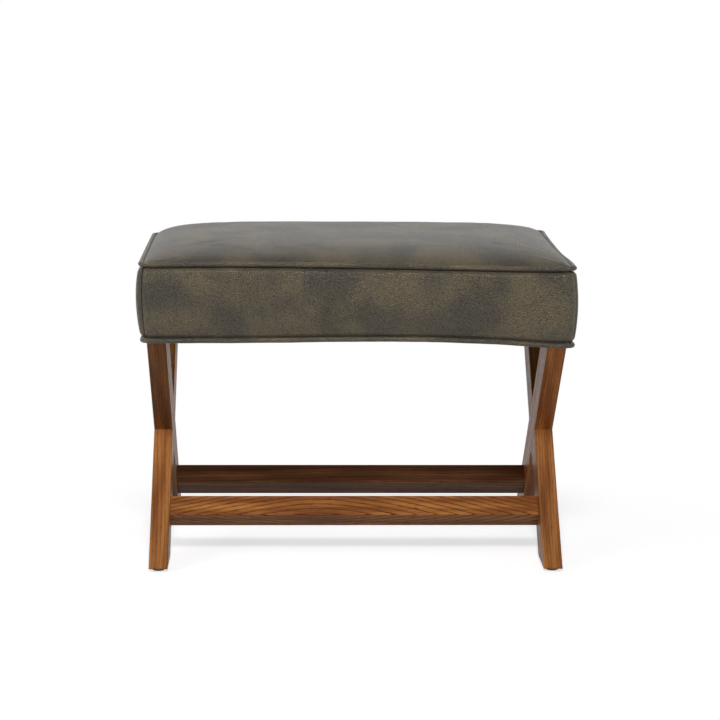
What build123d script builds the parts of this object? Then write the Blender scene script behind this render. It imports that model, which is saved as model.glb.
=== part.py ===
from build123d import *
from math import cos, exp, radians, sin, tan
import os

# An ottoman: a welted leather box seat on two X frames of half-lapped boards, tied by two stretchers.
# Millimetres, X across the width, the front at -Y, Z up from the floor, origin on the floor at the centre.

# Seat: across the seam lines from corner to corner, and the heights of its frame and its sides
seat_width = 602.4
seat_depth = 400.0
seat_underside = 338.5
boxing_height = 98.5

# Cover: its leather, how far the sides swell and the top and bottom seams draw in, and the top panel's crown
cover_thickness = 1.2
boxing_bulge = 7.8
seam_draw = 2.5
hem_draw = 0.3
corner_radius = 10.0
crown_height = 26.0
crown_shoulder = 32.0
crown_reach = 165.0
crown_steps = 5
crown_crowding = 1.6
crown_bow = 4.0
crown_rounding = 0.6
least_corner = 0.5
welt_cord_diameter = 5.0
welt_proud = 3.6
hem_width = 20.0
soft_gap = 0.3

# Filling over the frame
frame_setback = 5.4
wadding_thickness = 5.0

# Seat frame
rail_height = 45.0
side_rail_thickness = 32.0
end_rail_thickness = 22.0
block_size = 50.0
block_height = 36.0
deck_thickness = 12.0
dust_cover_thickness = 0.8
dust_cover_margin = 4.0

# Legs: boards that cross at an angle from the vertical, with blunt tips above and below
leg_width = 27.0
leg_depth = 56.0
leg_angle = 44.0
crossing_height = 174.0
leg_tip_setback = 1.1
foot_tip_blunt = 2.0
edge_radius = 1.5
leg_clearance = 3.0

# Stretchers: tilted with the legs, placed along and across the leg from the crossing
stretcher_depth = 33.0
stretcher_height = 32.0
stretcher_distance = 147.0
stretcher_setback = 4.5

# Glides under the feet, each with a nail moulded in
glide_height = 5.0
glide_diameter = 20.0
glide_chamfer = 1.2
glide_setback = 18.0
nail_diameter = 2.5
nail_length = 12.0
nail_head_diameter = 8.0
nail_head_height = 1.0
nail_head_cover = 2.0

# Dowels
stretcher_dowel_diameter = 8.0
stretcher_dowel_length = 38.0
stretcher_dowel_spacing = 16.0
rail_dowel_diameter = 8.0
rail_dowel_length = 40.0
rail_dowel_spacing = 22.0
leg_dowel_diameter = 10.0
leg_dowel_length = 36.0
leg_dowel_setback = 26.0
dowel_clearance = 0.1
hole_end_gap = 1.0

# Screws that hold the seat to the legs, sunk in the side rails
leg_screw_diameter = 8.0
leg_screw_length = 80.0
leg_screw_head_width = 13.0
leg_screw_head_height = 5.5
leg_screw_setback = 54.0
leg_screw_sink = 8.0
washer_diameter = 20.0
washer_thickness = 1.6

# Screws of the corner blocks and of the deck
block_screw_diameter = 4.5
block_screw_length = 35.0
block_screw_head_diameter = 9.0
block_screw_head_height = 3.0
block_screw_seat = 20.0
block_screw_offset = 18.0
block_screw_rise = 12.0
deck_screw_diameter = 4.0
deck_screw_length = 35.0
deck_screw_head_diameter = 8.0
deck_screw_end_margin = 95.0
deck_screw_side_margin = 125.0
deck_screws_per_end = 5
deck_screws_per_side = 3
screw_clearance = 0.2

# Staples through the dust cover and the hems into the rails
staple_width = 10.0
staple_wire_width = 1.2
staple_wire_thickness = 0.7
staple_leg_length = 9.0
staple_inset = 14.0
staple_end_margin = 20.0
staples_per_end = 6
staples_per_side = 3

# Heights that follow
rail_top = seat_underside + rail_height
rail_middle = seat_underside + rail_height / 2
deck_top = rail_top + deck_thickness
top_seam = seat_underside + boxing_height
hem_underside = seat_underside - cover_thickness
dust_cover_underside = hem_underside - dust_cover_thickness

# Welts lie along the seams
cord_radius = welt_cord_diameter / 2
welt_radius = cord_radius + cover_thickness
welt_inset = welt_radius - welt_proud
top_welt_height = top_seam + soft_gap + welt_radius
bottom_welt_height = hem_underside - soft_gap - welt_radius

# Plan of the frame
frame_x = seat_width / 2 - frame_setback
frame_y = seat_depth / 2 - frame_setback
rail_x = frame_x - side_rail_thickness
rail_y = frame_y - end_rail_thickness
frame_corner = max(corner_radius - frame_setback, least_corner)
side_rail_middle = frame_x - side_rail_thickness / 2
end_rail_middle = frame_y - end_rail_thickness / 2

# Legs stand flush with the sides of the frame
leg_inner_x = frame_x - leg_width
leg_middle_x = frame_x - leg_width / 2
leg_slope = tan(radians(leg_angle))
leg_sine = sin(radians(leg_angle))
leg_cosine = cos(radians(leg_angle))
level_half = leg_depth / 2 / leg_cosine
lap_length = 2 * leg_depth / sin(radians(2 * leg_angle))
foot_run = (crossing_height - glide_height) * leg_slope
top_run = (seat_underside - crossing_height) * leg_slope
foot_tip = foot_run + level_half - foot_tip_blunt
top_tip = frame_y - leg_tip_setback
leg_top_inner = top_run - level_half
leg_screw_y = top_tip - leg_screw_setback
leg_dowel_y = top_tip - leg_dowel_setback
glide_y = foot_tip - glide_setback
stretcher_y = stretcher_distance * leg_sine - stretcher_setback * leg_cosine
stretcher_z = crossing_height - stretcher_distance * leg_cosine - stretcher_setback * leg_sine

LEFT, RIGHT = -1, 1
FRONT, REAR = -1, 1
SIDES = {"left": LEFT, "right": RIGHT}
ENDS = {"front": FRONT, "rear": REAR}
CORNERS = [(side, end) for side in (LEFT, RIGHT) for end in (FRONT, REAR)]
ALONG_X = (0, 90, 0)


def save(builder, name):
    builder.part.label = name
    export_step(builder.part, f"parts/{name}.step")


def evenly(half_span, count):
    return [half_span * (2 * index / (count - 1) - 1) for index in range(count)]


# Places that two or more pieces share
def stretcher_dowel_places(sides, end):
    shift_y = end * stretcher_dowel_spacing / 2 * leg_sine
    shift_z = stretcher_dowel_spacing / 2 * leg_cosine
    return [
        (side * leg_inner_x, end * stretcher_y + sign * shift_y, stretcher_z - sign * shift_z)
        for side in sides
        for sign in (-1, 1)
    ]


def rail_dowel_places(corners):
    return [
        (side * rail_x, end * end_rail_middle, rail_middle + sign * rail_dowel_spacing / 2)
        for side, end in corners
        for sign in (-1, 1)
    ]


leg_dowel_places = [(side * leg_middle_x, end * leg_dowel_y, seat_underside) for side, end in CORNERS]
leg_screw_places = [
    (side * leg_middle_x, end * leg_screw_y, rail_top - leg_screw_sink) for side, end in CORNERS
]
glide_places = [(side * leg_middle_x, end * glide_y, 0) for side, end in CORNERS]
deck_screw_places = [
    (x, end * end_rail_middle, deck_top)
    for x in evenly(frame_x - deck_screw_end_margin, deck_screws_per_end)
    for end in (FRONT, REAR)
] + [
    (side * side_rail_middle, y, deck_top)
    for y in evenly(frame_y - deck_screw_side_margin, deck_screws_per_side)
    for side in (LEFT, RIGHT)
]
end_staple_places = [
    Location((x, end * (seat_depth / 2 - staple_inset), dust_cover_underside))
    for x in evenly(leg_inner_x - staple_end_margin, staples_per_end)
    for end in (FRONT, REAR)
]
side_staple_places = [
    Location((side * (seat_width / 2 - staple_inset), y, dust_cover_underside), (0, 0, 90))
    for y in evenly(leg_top_inner - staple_end_margin, staples_per_side)
    for side in (LEFT, RIGHT)
]
side_block_screws = [
    Location(
        (side * rail_x, end * (rail_y - block_screw_offset), rail_middle + block_screw_rise),
        (0, side * 90, 0),
    )
    for side, end in CORNERS
]
end_block_screws = [
    Location((side * (rail_x - block_screw_offset), end * rail_y, rail_middle), (-end * 90, 0, 0))
    for side, end in CORNERS
]


# Level face inside the seam line, drawn in at the middle of each side, with round corners
def seam_outline(inset, height, draw, rounding=0.0):
    x = seat_width / 2 - inset
    y = seat_depth / 2 - inset
    with BuildSketch(Plane.XY.offset(height), mode=Mode.PRIVATE) as outline:
        with BuildLine():
            ThreePointArc((-x, -y), (0, draw - y), (x, -y))
            ThreePointArc((x, -y), (x - draw, 0), (x, y))
            ThreePointArc((x, y), (0, y - draw), (-x, y))
            ThreePointArc((-x, y), (draw - x, 0), (-x, -y))
        make_face()
        fillet(outline.vertices(), max(corner_radius - inset, least_corner) + rounding)
    return outline.sketch


# Sides of the seat as a solid body, swollen at half height
def swollen_body(inset):
    middle = (seat_underside + top_seam) / 2
    with BuildPart(mode=Mode.PRIVATE) as body:
        loft(
            [
                seam_outline(inset, seat_underside, hem_draw),
                seam_outline(inset - boxing_bulge, middle, seam_draw),
                seam_outline(inset, top_seam, seam_draw),
            ]
        )
    return body.part


# Crown above the frame as a solid body: level faces that close in, and bow out, while they rise to a flat top
def crown_body(drop):
    fullness = 1 - exp(-crown_reach / crown_shoulder)
    faces = []
    for step in range(crown_steps + 1):
        inward = crown_reach * (step / crown_steps) ** crown_crowding
        share = (1 - exp(-inward / crown_shoulder)) / fullness
        height = top_welt_height - drop + crown_height * share
        draw = seam_draw - (seam_draw + crown_bow) * share
        rounding = crown_rounding * inward * (1 - 2 * inward / seat_depth)
        faces.append(seam_outline(frame_setback + inward, height, draw, rounding))
    with BuildPart(mode=Mode.PRIVATE) as body:
        loft(faces)
    return body.part


os.makedirs("parts", exist_ok=True)

# Staples: a crown under the dust cover and two legs up into the rail, along the edge that they hold
with BuildPart() as staple:
    with BuildSketch(Plane.XZ):
        with BuildLine():
            Polyline(
                (-staple_width / 2, staple_leg_length),
                (-staple_width / 2, -staple_wire_thickness),
                (staple_width / 2, -staple_wire_thickness),
                (staple_width / 2, staple_leg_length),
                (staple_width / 2 - staple_wire_thickness, staple_leg_length),
                (staple_width / 2 - staple_wire_thickness, 0),
                (staple_wire_thickness - staple_width / 2, 0),
                (staple_wire_thickness - staple_width / 2, staple_leg_length),
                close=True,
            )
        make_face()
    extrude(amount=staple_wire_width / 2, both=True)

with BuildPart() as dust_cover_staples:
    with Locations(*end_staple_places, *side_staple_places):
        add(staple.part)
save(dust_cover_staples, "dust_cover_staples")

# Nails moulded into the glides
with BuildPart() as glide_nails:
    with Locations(*[(x, y, z + nail_head_cover) for x, y, z in glide_places]):
        Cylinder(
            nail_head_diameter / 2,
            nail_head_height,
            align=(Align.CENTER, Align.CENTER, Align.MIN),
        )
        Cylinder(
            nail_diameter / 2,
            glide_height - nail_head_cover + nail_length,
            align=(Align.CENTER, Align.CENTER, Align.MIN),
        )
save(glide_nails, "glide_nails")

# Glides: one under each foot, close to its tip
for side_name, side in SIDES.items():
    for end_name, end in ENDS.items():
        with BuildPart() as glide:
            with Locations((side * leg_middle_x, end * glide_y, 0)):
                Cylinder(
                    glide_diameter / 2,
                    glide_height,
                    align=(Align.CENTER, Align.CENTER, Align.MIN),
                )
            chamfer(glide.edges().group_by(Axis.Z)[0], glide_chamfer)
            add(glide_nails.part, mode=Mode.SUBTRACT)
        save(glide, f"glide_{end_name}_{side_name}")

# Legs: straight boards cut level at the floor and at the seat frame, halved where they cross
for side_name, side in SIDES.items():
    for foot_name, foot in ENDS.items():
        with BuildPart() as leg:
            low_x = min(side * leg_inner_x, side * frame_x)
            with BuildSketch(Plane.YZ.offset(low_x)):
                with BuildLine():
                    Polyline(
                        (foot * (foot_run + level_half), glide_height),
                        (foot * (level_half - top_run), seat_underside),
                        (foot * (-level_half - top_run), seat_underside),
                        (foot * (foot_run - level_half), glide_height),
                        close=True,
                    )
                make_face()
                with Locations((foot * (foot_tip - top_tip) / 2, seat_underside / 2)):
                    Rectangle(foot_tip + top_tip, seat_underside, mode=Mode.INTERSECT)
            extrude(amount=leg_width)
            along_leg = Axis((0, 0, 0), (0, foot * leg_sine, -leg_cosine))
            fillet(leg.edges().filter_by(along_leg), edge_radius)
            # The front-footed leg is whole on the outside of the frame, the rear-footed one on the inside
            lap_low_x = low_x if side == foot * LEFT else low_x + leg_width / 2
            with BuildSketch(Plane.YZ.offset(lap_low_x)):
                with Locations((0, crossing_height)):
                    Rectangle(leg_depth, lap_length, rotation=-foot * leg_angle)
            extrude(amount=leg_width / 2, mode=Mode.SUBTRACT)
            with Locations(*stretcher_dowel_places([side], foot)):
                Cylinder(
                    (stretcher_dowel_diameter + dowel_clearance) / 2,
                    stretcher_dowel_length + 2 * hole_end_gap,
                    rotation=ALONG_X,
                    mode=Mode.SUBTRACT,
                )
            with Locations(*leg_dowel_places):
                Cylinder(
                    (leg_dowel_diameter + dowel_clearance) / 2,
                    leg_dowel_length + 2 * hole_end_gap,
                    mode=Mode.SUBTRACT,
                )
            with Locations(*leg_screw_places):
                Cylinder(
                    (leg_screw_diameter + screw_clearance) / 2,
                    leg_screw_length - washer_thickness + hole_end_gap,
                    align=(Align.CENTER, Align.CENTER, Align.MAX),
                    mode=Mode.SUBTRACT,
                )
            add(glide_nails.part, mode=Mode.SUBTRACT)
        save(leg, f"{side_name}_leg_{foot_name}_foot")

# Stretchers between the legs, tilted with them
for end_name, end in ENDS.items():
    with BuildPart() as stretcher:
        with BuildSketch(Plane.YZ.offset(-leg_inner_x)):
            with Locations((end * stretcher_y, stretcher_z)):
                Rectangle(stretcher_depth, stretcher_height, rotation=end * leg_angle)
        extrude(amount=2 * leg_inner_x)
        fillet(stretcher.edges().filter_by(Axis.X), edge_radius)
        with Locations(*stretcher_dowel_places([LEFT, RIGHT], end)):
            Cylinder(
                (stretcher_dowel_diameter + dowel_clearance) / 2,
                stretcher_dowel_length + 2 * hole_end_gap,
                rotation=ALONG_X,
                mode=Mode.SUBTRACT,
            )
    save(stretcher, f"{end_name}_stretcher")

# Dowels, two in each stretcher end, two in each rail joint and one in each leg top
with BuildPart() as stretcher_dowels:
    for end in (FRONT, REAR):
        with Locations(*stretcher_dowel_places([LEFT, RIGHT], end)):
            Cylinder(stretcher_dowel_diameter / 2, stretcher_dowel_length, rotation=ALONG_X)
save(stretcher_dowels, "stretcher_dowels")

with BuildPart() as rail_dowels:
    with Locations(*rail_dowel_places(CORNERS)):
        Cylinder(rail_dowel_diameter / 2, rail_dowel_length, rotation=ALONG_X)
save(rail_dowels, "rail_dowels")

with BuildPart() as leg_dowels:
    with Locations(*leg_dowel_places):
        Cylinder(leg_dowel_diameter / 2, leg_dowel_length)
save(leg_dowels, "leg_dowels")

# Screws down through the side rails into the leg tops, on washers
with BuildPart() as leg_screw_washers:
    with Locations(*leg_screw_places):
        Cylinder(
            washer_diameter / 2,
            washer_thickness,
            align=(Align.CENTER, Align.CENTER, Align.MIN),
        )
        Cylinder(
            (leg_screw_diameter + screw_clearance) / 2,
            washer_thickness,
            align=(Align.CENTER, Align.CENTER, Align.MIN),
            mode=Mode.SUBTRACT,
        )
save(leg_screw_washers, "leg_screw_washers")

with BuildPart() as leg_screws:
    head_seats = [(x, y, z + washer_thickness) for x, y, z in leg_screw_places]
    for seat in head_seats:
        with BuildSketch(Plane(origin=seat)):
            RegularPolygon(leg_screw_head_width / 2, 6, major_radius=False)
        extrude(amount=leg_screw_head_height)
    with Locations(*head_seats):
        Cylinder(
            leg_screw_diameter / 2,
            leg_screw_length,
            align=(Align.CENTER, Align.CENTER, Align.MAX),
        )
save(leg_screws, "leg_screws")

# Screws of the corner blocks: the head seats inside the block, the point goes into the rail
with BuildPart() as block_screws:
    with Locations(*side_block_screws, *end_block_screws):
        with Locations((0, 0, -block_screw_seat)):
            Cylinder(
                block_screw_head_diameter / 2,
                block_screw_head_height,
                align=(Align.CENTER, Align.CENTER, Align.MAX),
            )
            Cylinder(
                block_screw_diameter / 2,
                block_screw_length,
                align=(Align.CENTER, Align.CENTER, Align.MIN),
            )
save(block_screws, "block_screws")

# Deck screws with countersunk heads
deck_screw_cone = (deck_screw_head_diameter - deck_screw_diameter) / 2
with BuildPart() as deck_screws:
    with Locations(*deck_screw_places):
        Cone(
            deck_screw_diameter / 2,
            deck_screw_head_diameter / 2,
            deck_screw_cone,
            align=(Align.CENTER, Align.CENTER, Align.MAX),
        )
        Cylinder(
            deck_screw_diameter / 2,
            deck_screw_length,
            align=(Align.CENTER, Align.CENTER, Align.MAX),
        )
save(deck_screws, "deck_screws")

# Side rails: full depth, over the leg tops
for side_name, side in SIDES.items():
    with BuildPart() as side_rail:
        with Locations((side * side_rail_middle, 0, seat_underside)):
            Box(
                side_rail_thickness,
                2 * frame_y,
                rail_height,
                align=(Align.CENTER, Align.CENTER, Align.MIN),
            )
        outer_corners = side_rail.edges().filter_by(Axis.Z).sort_by(Axis.X, reverse=side == LEFT)[-2:]
        fillet(outer_corners, frame_corner)
        with Locations(*rail_dowel_places([(side, FRONT), (side, REAR)])):
            Cylinder(
                (rail_dowel_diameter + dowel_clearance) / 2,
                rail_dowel_length + 2 * hole_end_gap,
                rotation=ALONG_X,
                mode=Mode.SUBTRACT,
            )
        with Locations(*leg_dowel_places):
            Cylinder(
                (leg_dowel_diameter + dowel_clearance) / 2,
                leg_dowel_length + 2 * hole_end_gap,
                mode=Mode.SUBTRACT,
            )
        with Locations(*leg_screw_places):
            Cylinder(
                (washer_diameter + screw_clearance) / 2,
                leg_screw_sink,
                align=(Align.CENTER, Align.CENTER, Align.MIN),
                mode=Mode.SUBTRACT,
            )
            Cylinder(
                (leg_screw_diameter + screw_clearance) / 2,
                rail_height,
                align=(Align.CENTER, Align.CENTER, Align.MAX),
                mode=Mode.SUBTRACT,
            )
        add(deck_screws.part, mode=Mode.SUBTRACT)
        add(block_screws.part, mode=Mode.SUBTRACT)
        add(dust_cover_staples.part, mode=Mode.SUBTRACT)
    save(side_rail, f"{side_name}_side_rail")

# Front and rear rails between the side rails
for end_name, end in ENDS.items():
    with BuildPart() as end_rail:
        with Locations((0, end * end_rail_middle, seat_underside)):
            Box(
                2 * rail_x,
                end_rail_thickness,
                rail_height,
                align=(Align.CENTER, Align.CENTER, Align.MIN),
            )
        with Locations(*rail_dowel_places([(LEFT, end), (RIGHT, end)])):
            Cylinder(
                (rail_dowel_diameter + dowel_clearance) / 2,
                rail_dowel_length + 2 * hole_end_gap,
                rotation=ALONG_X,
                mode=Mode.SUBTRACT,
            )
        add(deck_screws.part, mode=Mode.SUBTRACT)
        add(block_screws.part, mode=Mode.SUBTRACT)
        add(dust_cover_staples.part, mode=Mode.SUBTRACT)
    save(end_rail, f"{end_name}_rail")

# Corner blocks: triangles glued and screwed into the corners of the frame, with wells for the screw heads
with BuildPart() as corner_blocks:
    with BuildSketch(Plane.XY.offset(rail_middle - block_height / 2)):
        for side, end in CORNERS:
            with BuildLine():
                Polyline(
                    (side * rail_x, end * rail_y),
                    (side * (rail_x - block_size), end * rail_y),
                    (side * rail_x, end * (rail_y - block_size)),
                    close=True,
                )
            make_face()
    extrude(amount=block_height)
    with Locations(*side_block_screws, *end_block_screws):
        with Locations((0, 0, -block_screw_seat)):
            Cylinder(
                (block_screw_head_diameter + screw_clearance) / 2,
                block_size,
                align=(Align.CENTER, Align.CENTER, Align.MAX),
                mode=Mode.SUBTRACT,
            )
            Cylinder(
                (block_screw_diameter + screw_clearance) / 2,
                block_screw_length,
                align=(Align.CENTER, Align.CENTER, Align.MIN),
                mode=Mode.SUBTRACT,
            )
save(corner_blocks, "corner_blocks")

# Plywood deck on the frame
with BuildPart() as seat_deck:
    with BuildSketch(Plane.XY.offset(rail_top)):
        RectangleRounded(2 * frame_x, 2 * frame_y, frame_corner)
    extrude(amount=deck_thickness)
    add(deck_screws.part, mode=Mode.SUBTRACT)
save(seat_deck, "seat_deck")

# Filling: foam with a crowned top, a wadding sheet over it and a wadding band round the sides
top_wadding_drop = cover_thickness + soft_gap
foam_drop = top_wadding_drop + wadding_thickness + soft_gap
with BuildPart() as foam_core:
    with BuildSketch(Plane.XY.offset(deck_top)):
        add(seam_outline(frame_setback, 0, seam_draw))
    extrude(amount=top_welt_height - foam_drop - deck_top)
    add(crown_body(foam_drop))
save(foam_core, "foam_core")

with BuildPart() as top_wadding:
    add(crown_body(top_wadding_drop))
    add(crown_body(top_wadding_drop + wadding_thickness), mode=Mode.SUBTRACT)
save(top_wadding, "top_wadding")

with BuildPart() as side_wadding:
    add(swollen_body(cover_thickness + soft_gap))
    with BuildSketch(Plane.XY.offset(seat_underside)):
        RectangleRounded(
            2 * (frame_x + soft_gap),
            2 * (frame_y + soft_gap),
            frame_corner + soft_gap,
        )
    extrude(amount=boxing_height, mode=Mode.SUBTRACT)
save(side_wadding, "side_wadding")

# Cover: a crowned top panel and four boxing panels that meet at the corners, hemmed under between the legs
with BuildPart() as top_panel:
    add(crown_body(0))
    add(crown_body(cover_thickness), mode=Mode.SUBTRACT)
save(top_panel, "top_panel")

with BuildPart() as boxing_ring:
    add(swollen_body(0))
    add(swollen_body(cover_thickness), mode=Mode.SUBTRACT)

hem_half_x = leg_inner_x - leg_clearance
hem_half_y = leg_top_inner - leg_clearance
corner_x = seat_width / 2
corner_y = seat_depth / 2
for panel_name, direction in (("front", -90), ("rear", 90), ("left", 180), ("right", 0)):
    along_x = panel_name in ENDS
    half_length, half_across = (corner_x, corner_y) if along_x else (corner_y, corner_x)
    hem_half = hem_half_x if along_x else hem_half_y
    with BuildPart() as boxing:
        add(boxing_ring.part)
        with BuildSketch(Plane.XY.offset(hem_underside)):
            add(seam_outline(0, 0, hem_draw))
            add(seam_outline(hem_width, 0, hem_draw), mode=Mode.SUBTRACT)
            with Locations(Location((0, 0), direction)):
                with Locations((half_across, 0)):
                    Rectangle(2 * hem_width, 2 * hem_half, mode=Mode.INTERSECT)
        extrude(amount=cover_thickness)
        with BuildSketch(Plane.XY.offset(hem_underside).rotated((0, 0, direction))):
            with BuildLine():
                Polyline(
                    (half_across + hem_width, half_length + hem_width),
                    (half_across + hem_width, -half_length - hem_width),
                    (half_across - 2 * hem_width, -half_length + 2 * hem_width),
                    (half_across - 2 * hem_width, half_length - 2 * hem_width),
                    close=True,
                )
            make_face()
        extrude(amount=cover_thickness + boxing_height, mode=Mode.INTERSECT)
        add(dust_cover_staples.part, mode=Mode.SUBTRACT)
    save(boxing, f"{panel_name}_boxing")

# Welts along both seams: a leather tube round a cord
for welt_name, welt_height, draw in (
    ("top", top_welt_height, seam_draw),
    ("bottom", bottom_welt_height, hem_draw),
):
    seam = seam_outline(welt_inset, welt_height, draw).face().outer_wire()
    with BuildPart() as welt:
        with BuildSketch(Plane(origin=seam @ 0, z_dir=seam % 0)):
            Circle(welt_radius)
            Circle(cord_radius, mode=Mode.SUBTRACT)
        sweep(path=seam)
    save(welt, f"{welt_name}_welt")
    with BuildPart() as cord:
        with BuildSketch(Plane(origin=seam @ 0, z_dir=seam % 0)):
            Circle(cord_radius)
        sweep(path=seam)
    save(cord, f"{welt_name}_welt_cord")

# Dust cover under the frame, cut away round the leg tops
with BuildPart() as dust_cover:
    with BuildSketch(Plane.XY.offset(dust_cover_underside)):
        Rectangle(2 * (frame_x - dust_cover_margin), 2 * hem_half_y)
        Rectangle(2 * hem_half_x, 2 * (frame_y - dust_cover_margin))
    extrude(amount=dust_cover_thickness)
    add(dust_cover_staples.part, mode=Mode.SUBTRACT)
save(dust_cover, "dust_cover")
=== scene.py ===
# %% [markdown]
# # A leather ottoman on two crossed frames
# The construction model already holds every board, screw and layer at its real size and place. This lesson
# loads it, and then makes what a construction model can't show: leather that is filled and sewn, the grain
# of stained wood, and a quiet white studio. Boards whose shape is right stay as they are and only get a
# finish.

import math

import bmesh
import bpy
from mathutils import Matrix, Vector, noise


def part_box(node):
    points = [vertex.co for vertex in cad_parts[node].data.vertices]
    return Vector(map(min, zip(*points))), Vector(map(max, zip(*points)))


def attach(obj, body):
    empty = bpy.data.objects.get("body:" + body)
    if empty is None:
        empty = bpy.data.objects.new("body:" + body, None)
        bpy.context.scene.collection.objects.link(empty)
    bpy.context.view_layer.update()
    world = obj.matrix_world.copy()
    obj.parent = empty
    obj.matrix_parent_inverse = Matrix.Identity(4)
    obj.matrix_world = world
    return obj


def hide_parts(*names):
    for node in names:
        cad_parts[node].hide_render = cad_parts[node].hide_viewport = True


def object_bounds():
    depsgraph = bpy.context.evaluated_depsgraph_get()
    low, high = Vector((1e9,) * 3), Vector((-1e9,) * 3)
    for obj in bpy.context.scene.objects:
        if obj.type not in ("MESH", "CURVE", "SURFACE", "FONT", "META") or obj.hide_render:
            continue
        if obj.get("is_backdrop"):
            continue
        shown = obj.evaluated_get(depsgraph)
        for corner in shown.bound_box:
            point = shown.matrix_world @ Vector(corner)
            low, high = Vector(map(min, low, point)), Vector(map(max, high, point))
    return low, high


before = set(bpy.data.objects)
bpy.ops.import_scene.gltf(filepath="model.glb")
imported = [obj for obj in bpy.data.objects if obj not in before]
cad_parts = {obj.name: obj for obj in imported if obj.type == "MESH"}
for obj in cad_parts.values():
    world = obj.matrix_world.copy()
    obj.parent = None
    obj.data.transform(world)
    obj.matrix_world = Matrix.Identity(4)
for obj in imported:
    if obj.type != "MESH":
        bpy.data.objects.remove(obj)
scene = bpy.context.scene
cad_low, cad_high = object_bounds()
print("construction model:", len(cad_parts), "nodes,", [round(v, 4) for v in cad_high - cad_low], "m")

# %% [markdown]
# ## The camera
# The photograph was taken from a little left of the middle, from about three metres away and slightly above
# the seat. A long lens at that distance keeps the two X frames almost parallel. A camera could be aimed with
# a tracking constraint, but three plain angles are easier to correct: yaw turns it sideways, pitch tips it
# down, and roll leans it. The three turns are multiplied into one matrix.

# %% Camera
camera_place = (-0.09067, -3.25988, 0.87311)
yaw, pitch, roll = math.radians(-1.76), math.radians(90 - 10.45), math.radians(0.41)

camera_data = bpy.data.cameras.new("camera")
camera_data.sensor_fit = "HORIZONTAL"
camera_data.sensor_width = 36
camera_data.lens = 110.95
camera = bpy.data.objects.new("camera", camera_data)
scene.collection.objects.link(camera)
aim = Matrix.Rotation(yaw, 4, "Z") @ Matrix.Rotation(pitch, 4, "X") @ Matrix.Rotation(roll, 4, "Z")
camera.matrix_world = Matrix.Translation(camera_place) @ aim
scene.camera = camera
scene.view_settings.view_transform = "Standard"
print("camera", round(camera.location.length, 2), "m from the origin, lens", camera_data.lens, "mm")

# %% [markdown]
# ## A short way to write materials
# Every finish here is procedural: a few noise and cell patterns, mixed into colour, roughness and bump. In
# the shader editor each node is dragged in and wired by hand. The first helper below does the same in one
# line: it adds a node, sets its options, and fills each input with a plain value or with the output of an
# earlier node. The others are short names for steps that every finish needs.

# %% Node helpers
def add(tree, kind, inputs, **options):
    """Adds a shader node, with its inputs filled by values or by other nodes' outputs."""
    made = tree.nodes.new("ShaderNode" + kind)
    for option, value in options.items():
        setattr(made, option, value)
    for key, value in inputs.items():
        if isinstance(value, bpy.types.NodeSocket):
            tree.links.new(value, made.inputs[key])
        else:
            made.inputs[key].default_value = value
    return made


def new_finish(name):
    """A new material, its node tree and its surface shader."""
    finish = bpy.data.materials.new(name)
    finish.use_nodes = True
    return finish, finish.node_tree, finish.node_tree.nodes["Principled BSDF"]


def blend_colours(tree, share, first, second):
    """The first colour where share is 0, the second where it is 1."""
    mix = add(tree, "Mix", {"Factor": share}, data_type="RGBA")
    for socket, colour in (("A", first), ("B", second)):
        slot = next(s for s in mix.inputs if s.name == socket and s.type == "RGBA")
        if isinstance(colour, bpy.types.NodeSocket):
            tree.links.new(colour, slot)
        else:
            slot.default_value = (*colour, 1)
    return next(s for s in mix.outputs if s.type == "RGBA")


def reshape(tree, value, low, high, to_low=0.0, to_high=1.0):
    """Stretches the part of a pattern between low and high, with soft ends."""
    inputs = {"Value": value, "From Min": low, "From Max": high, "To Min": to_low, "To Max": to_high}
    return add(tree, "MapRange", inputs, interpolation_type="SMOOTHSTEP").outputs["Result"]


def maths(tree, operation, first, second=0.0):
    """One step of arithmetic with one or two values."""
    return add(tree, "Math", {0: first, 1: second}, operation=operation).outputs[0]


def roughen(tree, surface, height, strength, distance):
    """Lets a pattern tilt the surface, as if it stood up by the given distance."""
    bump = add(tree, "Bump", {"Height": height, "Strength": strength, "Distance": distance})
    tree.links.new(bump.outputs["Normal"], surface.inputs["Normal"])


print("node helpers ready")

# %% [markdown]
# ## Leather
# The cover is a pebbled leather in grey and olive. Clouds about a hand wide drift between slate and olive,
# and a fine net of creases lies over them. The creases carry painted shade in the base colour, darker where
# the hide is slate. The pebbles are a little wider than high, and their tops throw back a soft, warm light. A
# photograph of leather could be wrapped round the seat, but a pattern in space needs no unwrapping and has no
# edge. Each panel was cut from another part of the hide, so each gets the same recipe with a different shift,
# and the clouds break at the seams as they do on the real seat.

# %% Leather finish
slate_hide, olive_hide = (0.085, 0.073, 0.052), (0.166, 0.131, 0.076)
# Painted shade: each crease colour is this share of the hide's colour, lower for slate.
slate_crease_shade, olive_crease_shade = 0.18, 0.34
clouds_per_metre, wisps_per_metre = 11.5, 30.0
wander_per_metre, fuzz_per_metre = 260.0, 900.0
pebbles_per_metre = (310.0, 310.0, 405.0)
crease_wander, crease_width = 0.0024, 0.17
warm_shine = (1.0, 0.94, 0.85, 1.0)


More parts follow.
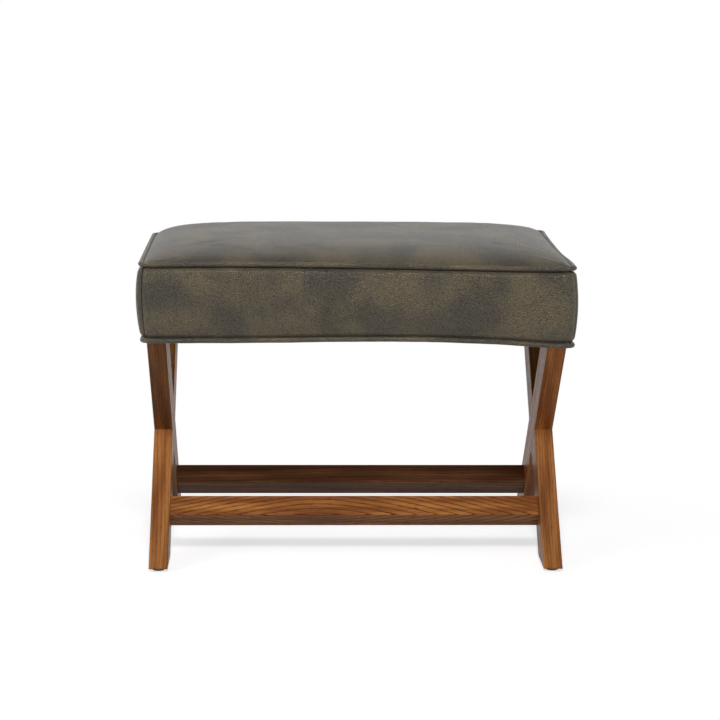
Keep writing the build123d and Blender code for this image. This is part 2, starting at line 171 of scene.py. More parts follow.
def leather(name, shift, tone=1.0):
    """Pebbled leather: shift picks a part of the hide, tone lightens or darkens it."""
    finish, tree, surface = new_finish(name)
    place = add(tree, "TexCoord", {}).outputs["Object"]
    place = add(tree, "Mapping", {"Vector": place, "Location": shift}).outputs["Vector"]

    def pattern(scale, detail, roughness=0.5):
        inputs = {"Vector": place, "Scale": scale, "Detail": detail, "Roughness": roughness}
        return add(tree, "TexNoise", inputs)

    clouds = pattern(clouds_per_metre, 1.0).outputs["Fac"]
    wisps = pattern(wisps_per_metre, 4.0, 0.6).outputs["Fac"]
    mottle = maths(tree, "ADD", maths(tree, "MULTIPLY", clouds, 0.70), maths(tree, "MULTIPLY", wisps, 0.30))
    slate = tuple(tone * c for c in slate_hide)
    olive = tuple(tone * c for c in olive_hide)
    patches = reshape(tree, mottle, 0.40, 0.60)
    hide = blend_colours(tree, patches, slate, olive)

    wander = pattern(wander_per_metre, 1.0).outputs["Color"]
    bent = add(tree, "VectorMath", {0: wander, 1: (0.5, 0.5, 0.5)}, operation="SUBTRACT")
    bent = add(tree, "VectorMath", {0: bent.outputs[0], "Scale": crease_wander}, operation="SCALE")
    bent = add(tree, "VectorMath", {0: place, 1: bent.outputs[0]}, operation="ADD")
    bent = add(tree, "Mapping", {"Vector": bent.outputs[0], "Scale": pebbles_per_metre}).outputs["Vector"]
    pebbles = add(tree, "TexVoronoi", {"Vector": bent, "Scale": 1.0}, feature="DISTANCE_TO_EDGE")
    tops = reshape(tree, pebbles.outputs["Distance"], 0.0, crease_width)
    fuzz = pattern(fuzz_per_metre, 3.0).outputs["Fac"]

    # Painted shade in the creases between the pebbles, darker in the slate parts.
    slate_in_crease_shade = tuple(slate_crease_shade * c for c in slate)
    olive_in_crease_shade = tuple(olive_crease_shade * c for c in olive)
    crease_shaded = blend_colours(tree, tops, blend_colours(tree, patches, slate_in_crease_shade, olive_in_crease_shade), hide)
    depth = reshape(tree, wisps, 0.3, 0.7, 0.8, 1.0)
    tree.links.new(blend_colours(tree, depth, hide, crease_shaded), surface.inputs["Base Color"])
    tree.links.new(reshape(tree, fuzz, 0.2, 0.8, 0.32, 0.45), surface.inputs["Roughness"])
    surface.inputs["Specular IOR Level"].default_value = 0.55
    surface.inputs["Specular Tint"].default_value = warm_shine
    surface.inputs["Sheen Weight"].default_value = 0.08
    surface.inputs["Sheen Roughness"].default_value = 0.45
    roughen(tree, surface, maths(tree, "ADD", tops, maths(tree, "MULTIPLY", fuzz, 0.35)), 0.9, 0.0010)
    return finish


print("leather finish ready")

# %% [markdown]
# ## The outline of the seat
# All cover pieces have to agree on where the seams run, so the seat's outline is written once. It could be a
# curve object, but a function can be asked for any point, and for the way out of the seat at that point. It
# walks round a rectangle with rounded corners, one side at a time: `u` runs from -1 to 1 along a side, and
# `inset` steps inwards from the seam. The upright seams at the corners don't sit exactly on the diagonal, so
# each side also knows how far round the corner it reaches, in degrees.

# %% Outline
welt_low, welt_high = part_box("top_welt")
hem_low, hem_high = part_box("bottom_welt")
welt_radius = (welt_high.z - welt_low.z) / 2
welt_proud = 0.0036
half_x, half_y = welt_high.x - welt_proud, welt_high.y - welt_proud
corner, smallest_corner = 0.010, 0.0004
top_seam = (welt_high.z + welt_low.z) / 2
bottom_seam = (hem_high.z + hem_low.z) / 2
sides = ("front", "right", "rear", "left")
long_sides = ("front", "rear")
corner_seams = {"front": (34, 58), "right": (32, 45), "rear": (45, 45), "left": (45, 56)}


def outline(side, u, inset):
    """A point of the seat's outline seen from above, and the direction that leads out of the seat there."""
    along_half, out_half = (half_x, half_y) if side in long_sides else (half_y, half_x)
    radius = max(corner - inset, smallest_corner)
    straight = along_half - inset - radius
    bend = math.radians(corner_seams[side][0 if u < 0 else 1])
    travel = abs(u) * (straight + radius * bend)
    angle = max(0.0, travel - straight) / radius
    along = min(travel, straight) + radius * math.sin(angle)
    out = out_half - inset - radius * (1 - math.cos(angle))
    turn = Matrix.Rotation(sides.index(side) * math.pi / 2, 3, "Z")
    point = turn @ Vector((math.copysign(along, u), -out, 0))
    outward = turn @ Vector((math.copysign(math.sin(angle), u), -math.cos(angle), 0))
    return point, outward


print("seat", round(2 * half_x, 3), "x", round(2 * half_y, 3), "m, welts", round(2 * welt_radius, 4), "m")

# %% [markdown]
# ## Crooked lines
# Sewn work is never quite straight. On this seat the front top seam falls a few millimetres towards the
# right, and the bottom seam arches up in the middle and droops at the right corner. The left rear corner
# hangs lower and further out, and the right side bows out near the front. Such faults could be pulled into
# each mesh by hand, but then neighbours would part. Short functions hold them here, and every cover piece
# asks the same ones. A little noise keeps the lines from looking ruled.

# %% Lines of the seams
top_draw, bottom_draw = 0.0025, 0.0006
bow_place, bow_length = -0.15, 0.06
ear_length = 0.012


def drawn_in(u, amount):
    """Between its corners a tight seam is pulled inwards."""
    return amount * (1 - u * u)


def nearer_front(y):
    """1 along the front edge, 0 along the rear edge."""
    return min(1.0, max(0.0, 0.5 - y / (2 * half_y)))


def settle(point, height):
    """Moves a point sideways as the cover hangs; height is 0 at the bottom seam and 1 at the top seam."""
    left, right = max(0.0, -point.x / half_x) ** 4, max(0.0, point.x / half_x) ** 4
    rear = 1 - nearer_front(point.y)
    middle = max(0.0, 1 - (point.y / half_y) ** 2)
    bow = math.exp(-((point.y - bow_place) / bow_length) ** 2)
    over_left = (0.35 + 0.65 * height) * (0.002 + 0.005 * rear + 0.003 * middle * height)
    over_right = 0.0022 * (1 - height) + 0.004 * height ** 6 * bow
    return point + Vector((right * over_right - left * over_left, 0, 0))


def top_line(point):
    """Height of the middle of the top welt."""
    across = point.x / half_x
    front = nearer_front(point.y)
    from_corner = math.hypot(half_x - abs(point.x), half_y - abs(point.y))
    fall = 0.0009 - 0.0046 * across - 0.0023 * across ** 2 + 0.0023 * across ** 3
    ear = 0.002 * math.exp(-from_corner / ear_length)
    sag = 0.0015 + 0.006 * max(0.0, -across) ** 4
    return top_seam + front * (fall + ear) - (1 - front) * sag + 0.0004 * noise.noise(point * 18)


def bottom_line(point, u):
    """Height of the middle of the bottom welt."""
    across = min(point.x / half_x, 0.9)
    fall = 0.0045 + 0.0020 * across - 0.0070 * across ** 2 - 0.0068 * across ** 3
    arch = 0.002 - 0.0035 * u * u
    front = nearer_front(point.y)
    return bottom_seam + front * fall + (1 - front) * arch + 0.0005 * noise.noise(point * 16)


front_left, front_right = (outline("front", u, 0)[0] for u in (-1, 1))
print("front top seam falls", round(1000 * (top_line(front_left) - top_line(front_right)), 1), "mm")

# %% [markdown]
# ## From a bmesh to a piece
# Each cover piece begins as a flat grid, and a function lays its points on the seat. The first helper turns
# the result into an object with smooth shading and a finish, and hides the construction nodes it stands for.
# The second one thickens a sheet inwards. Finer grids would hide the facets too, but one level of subdivision
# rounds them off with less to compute.

# %% Piece helpers
def make_piece(name, bm, finish, stands_for):
    """Links a bmesh into the scene as a piece that stands for some nodes of the construction model."""
    mesh = bpy.data.meshes.new(name)
    bm.to_mesh(mesh)
    bm.free()
    mesh.shade_smooth()
    if finish:
        mesh.materials.append(finish)
    piece = bpy.data.objects.new(name, mesh)
    scene.collection.objects.link(piece)
    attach(piece, "root")
    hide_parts(*stands_for)
    return piece


def thicken(piece, thickness):
    """Gives a sheet its thickness, inwards from its outer face, and rounds it off."""
    if thickness:
        wall = piece.modifiers.new("thickness", "SOLIDIFY")
        wall.thickness = thickness
        wall.offset = -1
    soft = piece.modifiers.new("rounding", "SUBSURF")
    soft.levels = 1
    soft.render_levels = 1


print("piece helpers ready")

# %% [markdown]
# ## Filling a panel
# Wadding pushes the leather outwards wherever no seam holds it. Sculpting could fake that, but a short cloth
# simulation with pressure does it evenly. The points along the seams are sewn, so they stay still. The laid
# shape already has its full height, so no point may move further than `most`.

# %% Swelling helpers
cloth_steps = 20
cloth_settings = {
    "quality": 6, "mass": 0.3, "air_damping": 8,
    "tension_stiffness": 40, "compression_stiffness": 40, "shear_stiffness": 20, "bending_stiffness": 2,
    "tension_damping": 20, "compression_damping": 20,
    "use_pressure": True, "vertex_group_mass": "sewn",
}


def sew(piece, points):
    """Marks the points that the seams hold still."""
    piece.vertex_groups.new(name="sewn").add(points, 1.0, "REPLACE")


def fill_out(piece, pressure, most):
    """Lets cloth under pressure swell between its sewn edges, each point by `most` at the furthest."""
    start = [v.co.copy() for v in piece.data.vertices]
    cloth = piece.modifiers.new("swelling", "CLOTH")
    for setting, value in cloth_settings.items():
        setattr(cloth.settings, setting, value)
    cloth.settings.uniform_pressure_force = pressure
    cloth.settings.effector_weights.gravity = 0
    for step in range(1, cloth_steps + 1):
        scene.frame_set(step)
    swollen = piece.evaluated_get(bpy.context.evaluated_depsgraph_get()).to_mesh()
    moves = [after.co - before for after, before in zip(swollen.vertices, start)]
    piece.to_mesh_clear()
    piece.modifiers.remove(cloth)
    scene.frame_set(1)
    for vertex, before, move in zip(piece.data.vertices, start, moves):
        if move.length > most:
            move *= most / move.length
        vertex.co = before + move
    return max(min(move.length, most) for move in moves)


print("swelling helpers ready")

# %% [markdown]
# ## The top panel
# The top is one piece of leather over wadding and foam, held down by the seam all round. A subdivided box
# would give the same roundness everywhere. Here the height comes from the distance to the nearest edges, in
# three parts: a small lip that stands up right behind the welt, the bulk of the foam that levels out a hand
# further in, and a very low dome. The grid's points crowd towards the edges, where the shape turns fastest.

# %% Top panel
crown = cad_high.z - top_seam
edge_inset, sunk = 0.0022, 0.0005
lip, dome = 0.005, 0.002
lip_width, shoulder_x, shoulder_y = 0.004, 0.026, 0.034
crowding = 1.44
top_pressure, top_swelling, top_thickness = 1.0, 0.0006, 0.005


def swell(distance, shoulder):
    """0 at an edge, nearly 1 a few shoulders away from it."""
    return 1 - math.exp(-max(distance, 0) / shoulder)


def spread(share):
    """Moves evenly spaced points closer together towards the edges."""
    return math.sin(crowding * share) / math.sin(crowding)


def lay_top(flat):
    """Where a point of a flat square sheet, from -1 to 1 both ways, lies on the seat."""
    x, y = flat.x * (half_x - edge_inset), flat.y * (half_y - edge_inset)
    reach = corner - edge_inset
    over_x = max(0.0, abs(x) - (half_x - corner)) / reach
    over_y = max(0.0, abs(y) - (half_y - corner)) / reach
    x -= math.copysign(reach * over_x * (1 - math.sqrt(1 - over_y ** 2 / 2)), x)
    y -= math.copysign(reach * over_y * (1 - math.sqrt(1 - over_x ** 2 / 2)), y)
    x *= 1 - drawn_in(flat.y, top_draw) / half_x * abs(flat.x) ** 6
    y *= 1 - drawn_in(flat.x, top_draw) / half_y * abs(flat.y) ** 6
    from_x, from_y = (1 - abs(flat.x)) * half_x, (1 - abs(flat.y)) * half_y
    bulk = swell(from_x, shoulder_x) * swell(from_y, shoulder_y)
    rise = lip * swell(from_x, lip_width) * swell(from_y, lip_width) + (crown + sunk - lip - dome) * bulk
    rise += dome * (1 - flat.x ** 2) * (1 - flat.y ** 2)
    place = Vector((x, y, 0))
    place.z = top_seam - sunk + (top_line(place) - top_seam) * (1 - bulk) + rise
    place.z += 0.0005 * noise.noise(place * 14) * bulk
    return settle(place, 1.0)


bm = bmesh.new()
bmesh.ops.create_grid(bm, x_segments=120, y_segments=80, size=1)
bm.verts.index_update()
rim = [v.index for v in bm.verts if v.is_boundary]
for v in bm.verts:
    v.co = lay_top(Vector((spread(v.co.x), spread(v.co.y), 0)))
top_finish = leather("leather_top", (8.56, 8.48, 0.4))
top_panel = make_piece("top_panel_leather", bm, top_finish, ["top_panel", "top_wadding"])
sew(top_panel, rim)
moved = fill_out(top_panel, top_pressure, top_swelling)
thicken(top_panel, top_thickness)
highest = max(v.co.z for v in top_panel.data.vertices)
print("top panel swelled by", round(moved * 1000, 2), "mm, highest point", round(highest, 4), "m")

# %% [markdown]
# ## The foam
# Under the leather and its wadding lies a block of foam with the same crown. It is hidden, but it has to
# follow the leather's slightly crooked lines or it would show through them. A rounded box would be simpler,
# and would stick out at the low corner. So the block starts from the same function as the leather, a little
# smaller and lower. Its rim is then extruded straight down to the plywood deck, and closed underneath.

# %% Foam
foam_share, foam_drop, deck_gap = 0.968, 0.008, 0.0003
deck_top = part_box("seat_deck")[1].z
bm = bmesh.new()
bmesh.ops.create_grid(bm, x_segments=60, y_segments=40, size=1)
for v in bm.verts:
    v.co = lay_top(v.co * foam_share) - Vector((0, 0, foam_drop))
rim = [e for e in bm.edges if e.is_boundary]
skirt = bmesh.ops.extrude_edge_only(bm, edges=rim)["geom"]
for v in (g for g in skirt if isinstance(g, bmesh.types.BMVert)):
    v.co.z = deck_top + deck_gap
bmesh.ops.holes_fill(bm, edges=[e for e in bm.edges if e.is_boundary])
bmesh.ops.recalc_face_normals(bm, faces=bm.faces[:])
foam = make_piece("foam_block", bm, None, ["foam_core"])
print("foam block:", len(foam.data.polygons), "faces")

# %% [markdown]
# ## The side panels
# Upholsterers call the upright band round a seat its boxing. Its four panels are sewn to each other at the
# corners, to a welt along the top and to a second welt along the bottom, and their lower edge is turned under
# the frame. An extruded outline would be quicker, but it would have hard, straight edges. Each panel begins
# as a flat grid instead. Its rows climb from the hidden hem, round the bottom edge, up the bulging face, and
# in under the top welt. Beside every seam the leather rolls inwards into a groove, deepest along the welts,
# and the shadow in it is the dark line that makes a seam read as one.

# %% Lay of a side panel
hem_rows, face_rows = 4, 34
hem_width, hem_inset, hem_lift = 0.020, 0.0045, 0.004
hem_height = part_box("dust_cover")[1].z + 0.0009
bulge_depth = 0.0078
low_groove, low_reach = 0.0045, 0.0056
high_groove, high_reach = 0.0055, 0.0036
corner_groove, corner_reach = 0.0018, 0.0016
gather_depth, gather_reach, gathers_per_metre = 0.00025, 0.008, 85
ripple_depth, ripples_per_metre = 0.0009, 15


def lay_side(side, u, row):
    """Where a point of a side panel lies: u along the side, row counted up from the hem's inner edge."""
    seam = outline(side, u, 0)[0]
    low = bottom_line(seam, u) + 0.2 * welt_radius
    high = top_line(seam) - 0.8 * welt_radius
    if row < hem_rows:
        inset = hem_width + (hem_inset - hem_width) * row / (hem_rows - 1)
        point = outline(side, u, inset)[0]
        point.z = min(hem_height, low + hem_lift) if row == hem_rows - 1 else hem_height
        return settle(point, 0.0)
    t = (1 - math.cos(math.pi * (row - hem_rows) / face_rows)) / 2
    bulge = bulge_depth * math.sin(math.pi * t ** 1.2) ** 0.45
    tight = drawn_in(u, top_draw) * t ** 2 + drawn_in(u, bottom_draw) * (1 - t)
    length = half_x if side in long_sides else half_y
    from_corner = (1 - abs(u)) * length
    from_low, from_high = t * (high - low), (1 - t) * (high - low)
    groove = low_groove * math.exp(-(from_low / low_reach) ** 4)
    groove += high_groove * math.exp(-(from_high / high_reach) ** 4)
    groove += corner_groove * math.exp(-from_corner / corner_reach)
    near_seam = math.exp(-min(from_low, from_high) / gather_reach)
    along_seam = Vector((u * length * gathers_per_metre, 0, sides.index(side) * 7))
    gather = gather_depth * noise.noise(along_seam) * near_seam
    on_face = Vector((seam.x, seam.y, t * 0.1)) * ripples_per_metre
    ripple = ripple_depth * noise.noise(on_face) * math.sin(math.pi * t)
    point = outline(side, u, tight + groove - bulge - gather - ripple)[0]
    point.z = low + (high - low) * t
    return settle(point, t)


print("a side panel has", hem_rows, "rows in its hem and", face_rows, "on its face")

# %% [markdown]
# ## Sewing the side panels
# One loop makes all four panels, because only the length, the finish and the crooked lines differ. A single
# panel bent round all corners would save the loop, but it would lose the upright seams. The rows beside both
# welts and the ends of the panel are sewn, so the simulation fills out the face and leaves the grooves alone.

# %% Side panels
shifts = {"front": (5.39, 15.42, 7.14), "right": (2.3, 0.9, 4.4),
          "rear": (7.7, 1.1, 2.6), "left": (4.6, 8.3, 1.5)}
sewn_rows, sewn_ends = 5, 0.985
side_pressure, side_swelling, side_thickness = 1.5, 0.0012, 0.0012
rows = hem_rows + face_rows
for side in sides:
    columns = 130 if side in long_sides else 90
    bm = bmesh.new()
    bmesh.ops.create_grid(bm, x_segments=columns, y_segments=rows, size=1)
    bm.verts.index_update()
    still = []
    for v in bm.verts:
        u, row = v.co.x, round((v.co.y + 1) / 2 * rows)
        v.co = lay_side(side, u, row)
        if row <= hem_rows + sewn_rows or row >= rows - sewn_rows or abs(u) > sewn_ends:
            still.append(v.index)
    finish = leather("leather_" + side, shifts[side])
    stands_for = [side + "_boxing"] + (["side_wadding"] if side == "front" else [])
    panel = make_piece(side + "_boxing_leather", bm, finish, stands_for)
    sew(panel, still)
    moved = fill_out(panel, side_pressure, side_swelling)
    thicken(panel, side_thickness)
    print(side, "panel swelled by", round(moved * 1000, 2), "mm")

# %% [markdown]
# ## The welts
# A welt is a cord wrapped in a strip of leather and sewn into a seam. It could be a curve with a round bevel.
# Here a flat grid is rolled into a tube and bent round the seat, because then its radius can vary a little
# from place to place, as hand-sewn leather does, and the ends can be merged into one closed ring.

# %% Welts
welt_steps, welt_around = 640, 12
merge_distance = 0.00005
up_axis = Vector((0, 0, 1))


def wrap_welt(name, line, draw, height, finish, stands_for):
    """A leather tube along a seam: line gives its height, draw pulls it in between the corners."""
    bm = bmesh.new()
    bmesh.ops.create_grid(bm, x_segments=welt_steps, y_segments=welt_around, size=1)
    for v in bm.verts:
        way = (v.co.x + 1) / 2 * 4
        side = sides[int(way) % 4]
        u = 2 * (way % 1) - 1
        angle = (v.co.y + 1) * math.pi
        seam, outward = outline(side, u, 0)
        middle = outline(side, u, welt_radius - welt_proud + drawn_in(u, draw))[0]
        middle.z = line(seam, u)
        middle = settle(middle, height)
        plump = welt_radius * (1 + 0.05 * noise.noise(seam * 70) + 0.03 * noise.noise(seam * 240))
        v.co = middle + plump * (math.cos(angle) * outward + math.sin(angle) * up_axis)
    bmesh.ops.remove_doubles(bm, verts=bm.verts[:], dist=merge_distance)
    bmesh.ops.recalc_face_normals(bm, faces=bm.faces[:])
    piece = make_piece(name, bm, finish, stands_for)
    thicken(piece, 0)
    return piece


welt_finish = leather("leather_welt", (1.3, 6.1, 9.2), tone=1.08)
top_welt = wrap_welt("top_welt_leather", lambda seam, u: top_line(seam), top_draw, 1.0,
                     welt_finish, ["top_welt", "top_welt_cord"])
bottom_welt = wrap_welt("bottom_welt_leather", bottom_line, bottom_draw, 0.0,
                        welt_finish, ["bottom_welt", "bottom_welt_cord"])
print("welts:", len(top_welt.data.vertices), "and", len(bottom_welt.data.vertices), "points")

# %% [markdown]
# ## Stained wood
# The legs and stretchers are an open-grained wood under an orange-brown stain and satin lacquer. The stain
# sinks into the porous early wood of each year's growth, so the rings show as dark lines. A stretched noise
# would only give stripes. Here the pattern is made the way a board is: growth rings around a heart line
# somewhere outside the board, cut by the board's own faces. A Mapping node turns space so that x runs along
# the grain. A bowed heart line makes the long arches of a board that was sawn near the outside of the trunk.

# %% Wood finish
dull_wood, bright_wood = (0.205, 0.064, 0.0165), (0.47, 0.182, 0.047)
ring_wood, pore_wood = (0.095, 0.027, 0.008), (0.062, 0.020, 0.006)
drift_per_metre, ring_drift = (4.0, 16.0, 16.0), 0.012
streaks_per_metre, pores_per_metre = (5.0, 70.0, 70.0), (75.0, 460.0, 460.0)
bow_softness = 0.005


def stained_wood(name, along, across, middle, heart, lines, stain_and_shade, growth=0.0040, bow=0.0, bow_middle=0.0):
    """Ringed wood round a heart line. Its stain colour tints it, and on a board in shade it also holds
    painted shade; lines sets how strongly the rings show, growth is the width of a ring, and bow bends the
    heart line away on both sides of bow_middle."""
    finish, tree, surface = new_finish(name)

    # Multiplies a colour by the board's stain, which on the rear stretcher also holds painted shade.
    def tinted(colour):
        return tuple(dye * c for dye, c in zip(stain_and_shade, colour))

    def square(value):
        return maths(tree, "MULTIPLY", value, value)

    along, across = Vector(along).normalized(), Vector(across).normalized()
    turn = Matrix((along, across, along.cross(across)))
    place = add(tree, "TexCoord", {}).outputs["Object"]
    where = {"Vector": place, "Rotation": turn.to_euler(), "Location": -(turn @ Vector(middle))}
    board = add(tree, "Mapping", where).outputs["Vector"]
    parts = add(tree, "SeparateXYZ", {0: board}).outputs

    def pattern(scale, detail, roughness=0.5):
        stretched = add(tree, "Mapping", {"Vector": board, "Scale": scale}).outputs["Vector"]
        inputs = {"Vector": stretched, "Scale": 1.0, "Detail": detail, "Roughness": roughness}
        return add(tree, "TexNoise", inputs).outputs["Fac"]

    drift = pattern(drift_per_metre, 2.0)
    pores = pattern(pores_per_metre, 3.0, 0.65)
    streaks = pattern(streaks_per_metre, 3.0)

    from_bow = maths(tree, "SUBTRACT", parts[0], bow_middle)
    arched = maths(tree, "SQRT", maths(tree, "ADD", square(from_bow), bow_softness))
    up = maths(tree, "ADD", maths(tree, "SUBTRACT", parts[1], heart[0]), maths(tree, "MULTIPLY", arched, bow))
    deep = maths(tree, "SUBTRACT", parts[2], heart[1])
    ring = maths(tree, "SQRT", maths(tree, "ADD", square(up), square(deep)))
    ring = maths(tree, "ADD", ring, maths(tree, "MULTIPLY", drift, ring_drift))
    year = maths(tree, "FRACT", maths(tree, "DIVIDE", ring, growth))

    early = maths(tree, "MAXIMUM", reshape(tree, year, 0.36, 0.0), reshape(tree, year, 0.90, 1.0))
    early = maths(tree, "MULTIPLY", early, reshape(tree, pores, 0.32, 0.58, 0.50 * lines, lines))
    light = blend_colours(tree, reshape(tree, streaks, 0.32, 0.68), tinted(dull_wood), tinted(bright_wood))
    stained = blend_colours(tree, early, light, tinted(ring_wood))
    flecks = reshape(tree, pores, 0.55, 0.70, 0.0, 0.6 * lines)
    tree.links.new(blend_colours(tree, flecks, stained, tinted(pore_wood)), surface.inputs["Base Color"])
    tree.links.new(reshape(tree, pores, 0.3, 0.7, 0.34, 0.52), surface.inputs["Roughness"])
    surface.inputs["Specular IOR Level"].default_value = 0.11
    roughen(tree, surface, pores, 0.22, 0.0003)
    return finish


print("wood finish ready")

# %% [markdown]
# ## Wood on the legs and stretchers
# The boards come straight from the construction model and only get a finish. One wood for all of them would
# be less work, but every real board has its own rings and takes the stain differently. So each board gets its
# own heart line and its own stain, and one of the right legs gets the lightest. The rear stretcher's stain is
# the darkest and a little blue: that is painted shade, for the seat's shadow on it.

# %% Legs and stretchers
def put_on(finish, *names):
    """Gives nodes of the construction model a finish in place of their plain colour."""
    for name in names:
        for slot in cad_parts[name].material_slots:
            slot.material = finish


lean_sin, lean_cos = math.sin(math.radians(44)), math.cos(math.radians(44))
crossing = 0.174
leg_lines = 0.55
leg_low, leg_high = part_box("right_leg_front_foot")
leg_middle = (leg_low.x + leg_high.x) / 2
legs = {
    "left_leg_front_foot": {"end": -1, "way": 1, "heart": (-0.06, 0.09), "stain_and_shade": (0.98, 1.02, 1.12)},
    "left_leg_rear_foot": {"end": -1, "way": -1, "heart": (0.05, -0.07), "stain_and_shade": (0.74, 0.80, 0.98)},
    "right_leg_front_foot": {"end": 1, "way": 1, "heart": (0.05, -0.08), "stain_and_shade": (0.90, 0.94, 1.02)},
    "right_leg_rear_foot": {"end": 1, "way": -1, "heart": (0.04, 0.09), "stain_and_shade": (1.36, 1.30, 1.30)},
}
for name, leg in legs.items():
    along = (0, leg["way"] * lean_sin, lean_cos)
    across = (0, -lean_cos, leg["way"] * lean_sin)
    middle = (leg["end"] * leg_middle, 0, crossing)
    put_on(stained_wood("wood_" + name, along, across, middle, leg["heart"], leg_lines, leg["stain_and_shade"]), name)

stretchers = {
    "front_stretcher": {"across": (0, lean_sin, lean_cos), "heart": (-0.18, 0.18), "lines": 1.0,
                        "stain_and_shade": (1.06, 1.08, 1.04), "growth": 0.0056, "bow": 0.26, "bow_middle": -0.05},
    # Painted shade: the rear stretcher sits in the seat's shadow, so its stain is darker and bluer.
    "rear_stretcher": {"across": (0, lean_cos, lean_sin), "heart": (0.13, 0.13), "lines": 0.7,
                       "stain_and_shade": (0.48, 0.54, 0.86), "growth": 0.0045, "bow": 0.03, "bow_middle": 0.1},
}
for name, grain in stretchers.items():
    low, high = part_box(name)
    put_on(stained_wood("wood_" + name, along=(1, 0, 0), middle=(low + high) / 2, **grain), name)
print("wood on", len(legs), "legs and", len(stretchers), "stretchers")

# %% [markdown]
# ## Glides, dust cover and the hidden layers
# Under the feet are round plastic glides, and under the seat a thin black cloth is stapled over the frame.
# Inside are pine rails, a plywood deck, foam and wadding. Nobody sees those unless the cover is taken off,
# but a part that will be reused should be right inside as well. Plain colours would do there. A fine
# speckle, stretched along the grain where there is one, costs one function and makes each of them look like
# what it is.

# %% Small and hidden finishes
def speckled(name, dark, light, scale, roughness, metallic=0.0, relief=0.0004):
    """A plain material with a fine speckle in its colour, gloss and surface."""
    finish, tree, surface = new_finish(name)
    place = add(tree, "TexCoord", {}).outputs["Object"]
    place = add(tree, "Mapping", {"Vector": place, "Scale": scale}).outputs["Vector"]
    inputs = {"Vector": place, "Scale": 1.0, "Detail": 4.0, "Roughness": 0.6}
    speckle = add(tree, "TexNoise", inputs).outputs["Fac"]
    colour = blend_colours(tree, reshape(tree, speckle, 0.3, 0.7), dark, light)
    gloss = reshape(tree, speckle, 0.2, 0.8, roughness - 0.08, roughness + 0.08)
    tree.links.new(colour, surface.inputs["Base Color"])
    tree.links.new(gloss, surface.inputs["Roughness"])
    surface.inputs["Metallic"].default_value = metallic
    roughen(tree, surface, speckle, 0.3, relief)
    return finish


pine = (0.46, 0.30, 0.15), (0.66, 0.47, 0.27)
put_on(speckled("glide_plastic", (0.012, 0.009, 0.007), (0.03, 0.022, 0.016), (300, 300, 300), 0.45),
       "glide_front_left", "glide_front_right", "glide_rear_left", "glide_rear_right")
put_on(speckled("dust_cloth", (0.006, 0.006, 0.007), (0.022, 0.022, 0.024), (900, 900, 900), 0.85),
       "dust_cover")
put_on(speckled("steel", (0.30, 0.30, 0.31), (0.52, 0.52, 0.53), (500, 500, 500), 0.32, 1.0, 0.0001),
       "dust_cover_staples", "glide_nails", "leg_screws", "leg_screw_washers", "deck_screws", "block_screws")
put_on(speckled("rail_pine_long", *pine, (4, 240, 240), 0.6), "front_rail", "rear_rail", "corner_blocks")
put_on(speckled("rail_pine_short", *pine, (240, 4, 240), 0.6), "left_side_rail", "right_side_rail")
put_on(speckled("plywood", (0.42, 0.28, 0.15), (0.60, 0.44, 0.27), (12, 160, 500), 0.6), "seat_deck")
put_on(speckled("dowel_beech", (0.48, 0.32, 0.18), (0.62, 0.45, 0.28), (60, 400, 400), 0.55),
       "leg_dowels", "rail_dowels", "stretcher_dowels")
foam.data.materials.append(speckled("foam", (0.62, 0.55, 0.34), (0.78, 0.72, 0.50), (700, 700, 700), 0.9))
print("finishes on", sum(len(o.material_slots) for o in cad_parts.values()), "nodes")

# %% [markdown]
# ## Floor
# The object stands in a white studio, and the floor only shows a faint shadow. If the floor were lit until
# it turned white, the object would be overlit too. Instead the floor is an ordinary grey surface to every
# ray except the ones that look straight at it. What those see is mostly plain white, and close to the feet a
# share of the real, shaded floor is mixed in.

# %% Floor
shadow_centre, shadow_shape = (0, 0.06, 0), (1.0, 1.5, 1.0)
shadow_near, shadow_far = 0.25, 0.75
white_near, white_far = 0.64, 1.0
floor_grey, floor_bright = (0.19, 0.19, 0.20), (1.75, 1.75, 1.77)
pure_white = (1, 1, 1, 1)

bm = bmesh.new()
bmesh.ops.create_grid(bm, x_segments=2, y_segments=2, size=40)
floor_mesh = bpy.data.meshes.new("floor")
bm.to_mesh(floor_mesh)
bm.free()
floor = bpy.data.objects.new("floor", floor_mesh)
scene.collection.objects.link(floor)
floor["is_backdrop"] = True

floor_finish = bpy.data.materials.new("floor_white")
floor_finish.use_nodes = True
tree = floor_finish.node_tree
tree.nodes.clear()
rays = add(tree, "LightPath", {}).outputs
place = add(tree, "TexCoord", {}).outputs["Object"]
place = add(tree, "Mapping", {"Vector": place, "Location": shadow_centre, "Scale": shadow_shape})
away = add(tree, "VectorMath", {0: place.outputs["Vector"]}, operation="LENGTH").outputs["Value"]
direct = maths(tree, "MAXIMUM", rays["Is Camera Ray"], rays["Is Glossy Ray"])
direct = maths(tree, "MAXIMUM", direct, rays["Is Transmission Ray"])
seen = maths(tree, "MULTIPLY", direct, reshape(tree, away, shadow_near, shadow_far, white_near, white_far))
plain = add(tree, "BsdfDiffuse", {"Color": blend_colours(tree, direct, floor_grey, floor_bright)})
white = add(tree, "Emission", {"Color": pure_white, "Strength": 1.0})
mixed = add(tree, "MixShader", {0: seen, 1: plain.outputs[0], 2: white.outputs[0]})
add(tree, "OutputMaterial", {"Surface": mixed.outputs[0]})
floor_mesh.materials.append(floor_finish)
print("floor ready")

# %% [markdown]
# ## World
# The background is plain white to the camera, and a dim light from all sides to everything else. A bright
# world alone could light the object, but it would wash out the shadows under the seat. Smooth surfaces mirror
# the white, which gives the leather its shine. In a real studio only the backdrop is white, so the mirrored
# world is dimmed towards the front and straight above.

# %% World
front_end, back_end, front_white = -0.3, 0.4, 0.35
above_start, above_end, above_white = 0.35, 0.85, 0.30
fill_light = 0.12

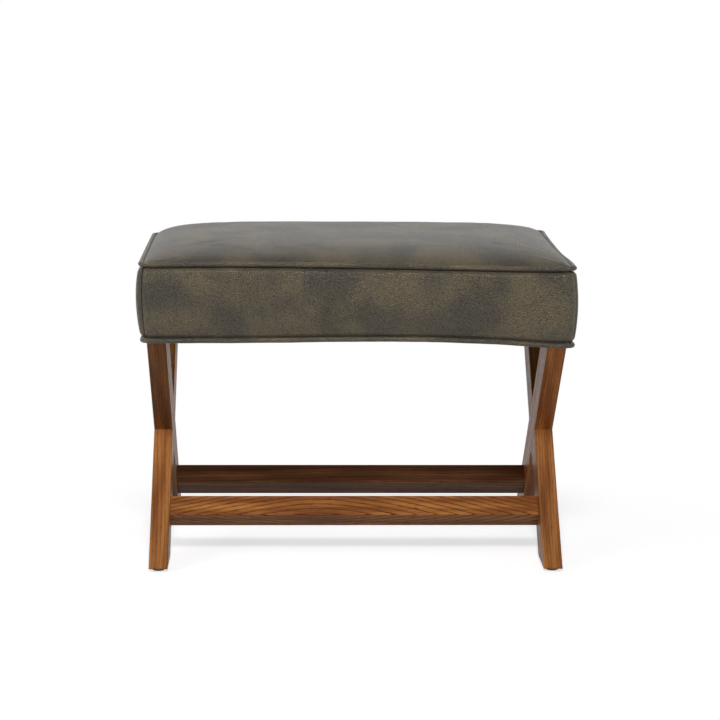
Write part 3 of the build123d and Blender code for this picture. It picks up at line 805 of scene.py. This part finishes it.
world = bpy.data.worlds.new("studio")
scene.world = world
world.use_nodes = True
tree = world.node_tree
tree.nodes.clear()
rays = add(tree, "LightPath", {}).outputs
towards = add(tree, "SeparateXYZ", {0: add(tree, "TexCoord", {}).outputs["Generated"]}).outputs
backdrop = maths(tree, "MULTIPLY", reshape(tree, towards["Y"], front_end, back_end, front_white, 1.0),
                 reshape(tree, towards["Z"], above_start, above_end, 1.0, above_white))
mirrored = maths(tree, "MULTIPLY", rays["Is Glossy Ray"], backdrop)
direct = maths(tree, "MAXIMUM", rays["Is Camera Ray"], mirrored)
direct = maths(tree, "MAXIMUM", direct, rays["Is Transmission Ray"])
soft = add(tree, "Background", {"Color": pure_white, "Strength": fill_light})
white = add(tree, "Background", {"Color": pure_white, "Strength": 1.0})
mixed = add(tree, "MixShader", {0: direct, 1: soft.outputs[0], 2: white.outputs[0]})
add(tree, "OutputWorld", {"Surface": mixed.outputs[0]})
print("world ready")

# %% [markdown]
# ## Lamps
# Four soft boxes light the object: a key lamp high in front, one at the left, a low one in front that reaches
# under the seat, and one behind. A single lamp would leave the inner faces of the legs black. The low front
# lamp and the one behind would glare on the leather, so they light it without leaving a highlight.

# %% Lamps
def soft_box(name, place, target, size, power, shines=True):
    """A large square lamp aimed at a point. One that doesn't shine leaves no highlight."""
    data = bpy.data.lights.new(name, "AREA")
    data.size = size
    data.energy = power
    lamp = bpy.data.objects.new(name, data)
    lamp.visible_glossy = shines
    lamp.location = place
    lamp.rotation_euler = (Vector(target) - Vector(place)).to_track_quat("-Z", "Y").to_euler()
    scene.collection.objects.link(lamp)


soft_box("key_lamp", (-0.1, -2.5, 2.45), (0, 0, 0.25), 0.55, 54)
soft_box("side_lamp", (-2.2, -1.0, 1.6), (0, 0, 0.3), 1.4, 15)
soft_box("front_lamp", (0.4, -3.2, 0.45), (0, 0, 0.3), 1.5, 29, shines=False)
soft_box("rear_lamp", (0.6, 3.0, 1.0), (0, 0, 0.4), 1.8, 30, shines=False)

# %% [markdown]
# ## Sizes
# Leather may stand a few millimetres proud of the construction model, but the ottoman must not grow. Both
# boxes are written down for comparison.

# %% Finish
low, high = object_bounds()
print("visual model:", [round(v, 4) for v in high - low], "m")
